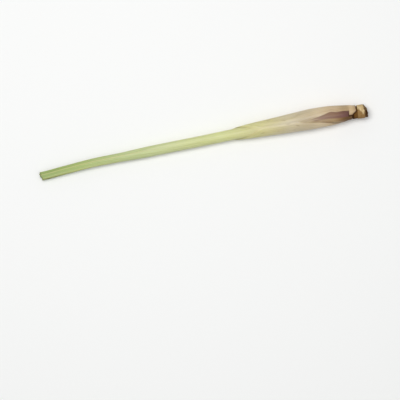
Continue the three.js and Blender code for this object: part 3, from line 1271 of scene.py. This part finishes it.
    def side(self, sheath: OuterSheath) -> Patch:
        """Makes the crown's side, with skin that is browner on its -Y side, partly as painted shade, and
        creased along the border.

        Args:
            sheath: The leaf along whose torn foot the painted shadow line runs on the crown.

        Returns:
            Its rings, from the rim of the cut to its top.
        """
        places, radii = (values[:, None] for values in self.outline())
        cut = self.cut()
        place = places + cut * np.clip(1 - places / self.cut_reach, 0, 1) ** 1.3
        relief, brown = self.relief(place)
        full = 0.45 * self.full_side(signed(self.direction)) * self.full_place(place)
        border = np.interp(place, (3, 5, 8), (-0.1, -0.27, 0.42))
        past = self.across - border + 0.25 * self.grain(3, 14, place / 2.5)
        crease = 0.55 * (bell(past + 0.05, 0.05) * self.upright.clip(0, 1)) * self.crease_place(place)
        band = self.band(place - cut - 0.7 * self.grain(6, 22, place / 1.2))
        band = band * np.clip(0.96 + 0.2 * self.grain(7, 30, place / 0.7), 0.78, 1)
        # painted shadow in the gap along the outer sheath's torn foot, partly its burnt edge, laid with the
        # dry brush
        line = self.foot_shadow_line(sheath, place)
        none = np.zeros_like(place)
        paint = {
            "face": none,
            "strands": none,
            "dry_and_shade": np.clip(np.maximum.reduce([0.35 * brown, band, line, crease]), 0, 1),
            "bark": smooth_step(place, 9.8, 10.7),
            # browner on the -Y side: partly its own colour, partly painted shade
            "tan_and_shade": smooth_step(past, 0.16, -0.22),
        }
        return Patch(place, self.direction, radii + relief + full, paint)

    def face(self, rim_radius: Array) -> Patch:
        """Makes the cut face: a slight dome with strands and layers raised on it.

        Args:
            rim_radius: The radius of its rim, in one row.

        Returns:
            Its rings, from the middle out.
        """
        share = np.linspace(0.03, 1.0, self.face_rings, endpoint=False)[:, None]
        radius = share * rim_radius
        x, y = radius * self.upright, radius * self.across
        strands = 0.6 * Grain(self.seed + 4)(x / 0.9 + 20, y / 0.9 + 20)
        strands = strands + 0.4 * Grain(self.seed + 11)((x + y) / 0.62 + 30, (x - y) / 0.62 + 30)
        layers = np.cos(2 * math.pi * radius / 1.05 + 2.2 * Grain(self.seed + 5)(x / 2 + 9, y / 2 + 9))
        place = 0.45 * share**2 + 0.10 * strands * (1 - share**4) + 0.05 * layers
        rim = smooth_step(share, 0.84, 0.95) * np.ones_like(x)
        core = 1 - smooth_step(share + 0.03 * strands, 0.66, 0.72)
        sleeve = bell(share + 0.02 * strands - 0.70, 0.035)
        paint = {
            "face": (1 - rim) * (0.8 + 0.2 * layers),
            "strands": (1 - rim) * (0.25 + 0.45 * core),
            "dry_and_shade": 0.75 * rim,
            "bark": np.maximum(0.5 * rim, 0.4 * sleeve),
            "tan_and_shade": np.ones_like(x),
        }
        return Patch(place * (1 - share**6) + self.cut() * share**2, self.direction, radius, paint)

    def build(self, sheath: OuterSheath) -> bpy.types.Object:
        """Makes the crown from its face and its side, each end closed on a middle point.

        Args:
            sheath: The leaf along whose torn foot the painted shadow line runs on the crown.

        Returns:
            The finished piece.
        """
        side = self.side(sheath)
        face = self.face(side.radius[:1])
        rings = np.concatenate([face.points(), side.points()])
        ends = STALK.points(np.array([0.0, self.top]), 0.0, 0.0)
        rows, size = rings.shape[:2]
        here = np.arange(size)
        onward, last = (here + 1) % size, (rows - 1) * size
        foot, top = np.full(size, rows * size), np.full(size, rows * size + 1)
        fans = [np.stack([foot, onward, here], 1), np.stack([top, last + here, last + onward], 1)]
        at_ends = {"face": 1.0, "strands": 0.7, "dry_and_shade": 0.0, "bark": 0.0, "tan_and_shade": 1.0}
        paint = {
            name: np.concatenate([face.paint[name].ravel(), side.paint[name].ravel(), [value, value]])
            for name, value in at_ends.items()
        }
        points = np.concatenate([rings.reshape(-1, 3), ends])
        shell = Shell("root_crown", points, side_quads(rows, size), np.concatenate(fans), paint)
        return dress(shell, self.finish.make(), Slot.WOODY_CROWN)


# ---------------------------------------------------------------- studio


@dataclass(frozen=True)
class Studio:
    """A pale floor, a soft light and a camera that looks straight down, turned about the upright.

    At true_height the camera sees a width of view. It sees the point half-way along the stalk, as far
    sideways as the stalk's tip, so far right and up from the middle of its view.
    """

    lens: float = 250.0
    sensor: float = 36.0
    view: float = 400.0
    turn: float = math.radians(-11.41)
    right: float = 3.9
    up: float = 55.97
    true_height: float = 14.0
    tip_sideways: float = -3.3
    floor: Colour = (244, 244, 242)
    floor_half: float = 1.6
    floor_below: float = 0.0002
    sky: tuple[float, float, float, float] = (0.95, 0.97, 1.0, 1.0)
    sky_strength: float = 0.34
    # Each lamp's name, place in the camera's directions, side and power in watts.
    lamps: tuple[tuple[str, tuple[float, float, float], float, float], ...] = (
        ("key", (-0.22, 0.26, 1.7), 0.9, 21.5), ("fill", (0.7, -0.4, 1.5), 1.2, 2.6)
    )

    def add_floor(self) -> None:
        """Lays the floor just under the stalk."""
        half = self.floor_half
        corners = [(-half, -half), (half, -half), (half, half), (-half, half)]
        mesh = bpy.data.meshes.new("floor")
        mesh.from_pydata([(x, y, -self.floor_below) for x, y in corners], [], [(0, 1, 2, 3)])
        finish = Finish("floor_paint")
        finish.fill(finish.shader, {"Base Color": linear(self.floor), "Roughness": 0.9})
        mesh.materials.append(finish.material)
        add_object("floor", mesh)

    def add_light(self, name: str, place: Vector, size: float, power: float) -> None:
        """Hangs one square lamp that faces the stalk.

        Args:
            name: The lamp's name.
            place: Where it hangs.
            size: Its side.
            power: Its power in watts.
        """
        lamp = bpy.data.lights.new(name, "AREA")
        lamp.size = size
        lamp.energy = power
        made = add_object(name, lamp)
        made.location = place
        made.rotation_mode = "QUATERNION"
        made.rotation_quaternion = (-place).to_track_quat("-Z", "Y")

    def add_camera(self, turned: Matrix) -> None:
        """Hangs the camera so that a frame of the stated width is seen at the true height.

        Args:
            turned: The camera's turn about the upright.
        """
        middle = Vector((0.0, self.tip_sideways, 0.0)) - turned @ Vector((self.right, self.up, 0.0))
        data = bpy.data.cameras.new("camera")
        data.lens = self.lens
        data.sensor_width = self.sensor
        camera = add_object("camera", data)
        distance = self.view * self.lens / self.sensor
        camera.location = (middle + Vector((0.0, 0.0, distance + self.true_height))) * MM
        camera.rotation_euler = (0.0, 0.0, self.turn)
        bpy.context.scene.camera = camera

    def build(self) -> None:
        """Sets up the whole studio."""
        self.add_floor()
        turned = Matrix.Rotation(self.turn, 3, "Z")
        for name, place, size, power in self.lamps:
            self.add_light(name, turned @ Vector(place), size, power)
        world = bpy.data.worlds.new("sky")
        world.use_nodes = True
        sky = world.node_tree.nodes["Background"]
        sky.inputs["Color"].default_value = self.sky
        sky.inputs["Strength"].default_value = self.sky_strength
        bpy.context.scene.world = world
        bpy.context.scene.view_settings.view_transform = "Standard"
        self.add_camera(turned)


# ---------------------------------------------------------------- the stalk's pieces


def outer_sheath() -> OuterSheath:
    """Describes the outermost leaf, from its torn foot to its dry upper end.

    Returns:
        The leaf, ready to build.
    """
    stops = (
        (12, (190, 162, 124)), (17, (202, 172, 132)), (21, (182, 156, 118)), (25, (182, 156, 118)),
        (31, (208, 183, 147)), (38, (214, 190, 153)), (50, (219, 201, 167)), (58, (208, 191, 158)),
        (66, (205, 190, 158)), (80, (212, 200, 166)), (95, (212, 202, 152)), (110, (210, 204, 144)),
        (125, (211, 210, 143)), (SHEATH_TOP, (212, 213, 142)),
    )
    return OuterSheath(
        name="leaf_1",
        slot=Slot.OUTER_SHEATH,
        finish=LeafFinish("outer_sheath", stops, seed=1.0),
        order=0,
        spacing=(
            (11.6, 0.28), (17.3, 0.24), (17.8, 0.05), (18.6, 0.05), (19.2, 0.22), (26, 0.4), (34, 0.7),
            (50, 1.0), (118, 1.0), (128, 0.5), (SHEATH_TOP, 0.35),
        ),
        wrap=Curve(
            (18.5, 108.75), (24, 115), (31, 130.25), (38, 143), (45, 157), (57, 171),
            (66, 180), (76, 200), (104, 200), (122, 135), (136, 60), (SHEATH_TOP, 25),
        ),
        turn=Curve((18.5, -36.75), (24, -27.5), (31, -15.75), (38, 2), (45, 1), (57, 0)),
        flap=Curve((17.9, 32), (18.5, 0)),
        lift=Curve((50, 0), (62, 1), (112, 1), (124, 0)),
        flare=Curve((110, 0), (134, 0.12)),
        margin=Curve((12, 0.55), (22, 0.5), (40, 0.3), (110, 0.3), (SHEATH_TOP, 0.2)),
        steps=252,
        ribs=40,
    )


def second_leaf() -> SecondLeaf:
    """Describes the second leaf, bare in the opening over the bulb and beyond the outer sheath.

    Returns:
        The leaf, ready to build.
    """
    stops = (
        (12, (140, 108, 74)), (24, (142, 112, 78)), (29, (170, 139, 100)), (34, (178, 150, 112)),
        (41, (182, 154, 120)), (48, (186, 161, 130)), (80, (208, 196, 156)), (125, (212, 210, 152)),
        (150, (214, 218, 156)), (180, (212, 217, 158)), (210, (202, 210, 154)), (245, (191, 203, 145)),
        (290, (170, 188, 112)), (333, (150, 172, 98)),
    )
    return SecondLeaf(
        name="leaf_2",
        slot=Slot.PALE_GREEN_LEAF,
        # the dry brown here is also the colour of the painted shadow under the outer sheath's flap
        finish=LeafFinish("second_leaf", stops, dry_and_shade=(64, 35, 2), specular=0.28, seed=2.0),
        order=1,
        spacing=(
            (16, 0.5), (26, 0.8), (60, 1.0), (100, 2.0), (130, 1.8), (210, 1.8), (255, 1.2), (325, 1.6),
            (333, 0.35),
        ),
        wrap=Curve((149, NO_OVERLAP), (160, 200), (212, 200), (252, 86), (LENGTH, 60)),
        lift=Curve((SHEATH_TOP + 0.5, 0), (148, 1), (224, 1), (238, 0)),
        flare=Curve((225, 0), (300, 0.7)),
        keel=Curve((215, 0), (260, 0.25)),
        steps=252,
        ribs=40,
    )


def inner_leaves() -> list[Leaf]:
    """Describes the three leaves that show only as edges towards the tips.

    Returns:
        The leaves from the outside in, ready to build.
    """
    third = (
        (20, (222, 210, 160)), (140, (206, 208, 140)), (240, (180, 196, 118)), (290, (160, 182, 102)),
        (334, (142, 166, 90)),
    )
    fourth = ((24, (226, 216, 166)), (160, (204, 210, 138)), (260, (172, 192, 108)), (334, (138, 164, 84)))
    fifth = ((28, (228, 220, 172)), (180, (206, 212, 140)), (280, (174, 196, 110)), (334, (146, 174, 88)))
    return [
        Leaf(
            "leaf_3", Slot.GREEN_LEAF, LeafFinish("third_leaf", third, seed=3.0), order=2,
            spacing=((20, 2.0), (60, 4.0), (225, 4.0), (240, 1.2), (325, 1.5), (334, 0.35)),
            wrap=Curve((240, NO_OVERLAP), (266, 104), (LENGTH, 94)), steps=200, ribs=34,
            flare=Curve((285, 0), (325, 0.4)), keel=Curve((250, 0), (280, 0.2)),
        ),
        Leaf(
            "leaf_4", Slot.GREEN_LEAF, LeafFinish("fourth_leaf", fourth, seed=4.0), order=3,
            spacing=((24, 2.5), (60, 4.0), (300, 4.0), (325, 1.5), (331.5, 0.4)),
            wrap=Curve((268, NO_OVERLAP), (294, 126), (LENGTH, 112)), steps=144, ribs=24,
            keel=Curve((285, 0), (310, 0.2)),
        ),
        Leaf(
            "leaf_5", Slot.GREEN_LEAF, LeafFinish("fifth_leaf", fifth, seed=5.0), order=4,
            spacing=((28, 2.5), (60, 4.0), (300, 4.0), (325, 1.5), (332.5, 0.4)),
            wrap=Curve((298, NO_OVERLAP), (318, 140), (LENGTH, 128)), steps=112, ribs=18,
        ),
    ]


def spear() -> Spear:
    """The rolled leaf in the middle."""
    stops = ((32, (230, 224, 178)), (200, (208, 216, 144)), (300, (178, 200, 116)), (334, (156, 184, 96)))
    return Spear(LeafFinish("spear_leaf", stops, seed=6.0))


def main() -> None:
    logging.basicConfig(level=logging.INFO, format="%(name)s: %(message)s")
    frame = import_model()
    LOG.info("frame loaded with nodes %s", ", ".join(sorted(frame["nodes"])))
    Studio().build()
    sheath = outer_sheath()
    Crown(CrownFinish()).build(sheath)
    for piece in (sheath, second_leaf(), *inner_leaves(), spear()):
        piece.build()


if __name__ == "__main__":
    main()
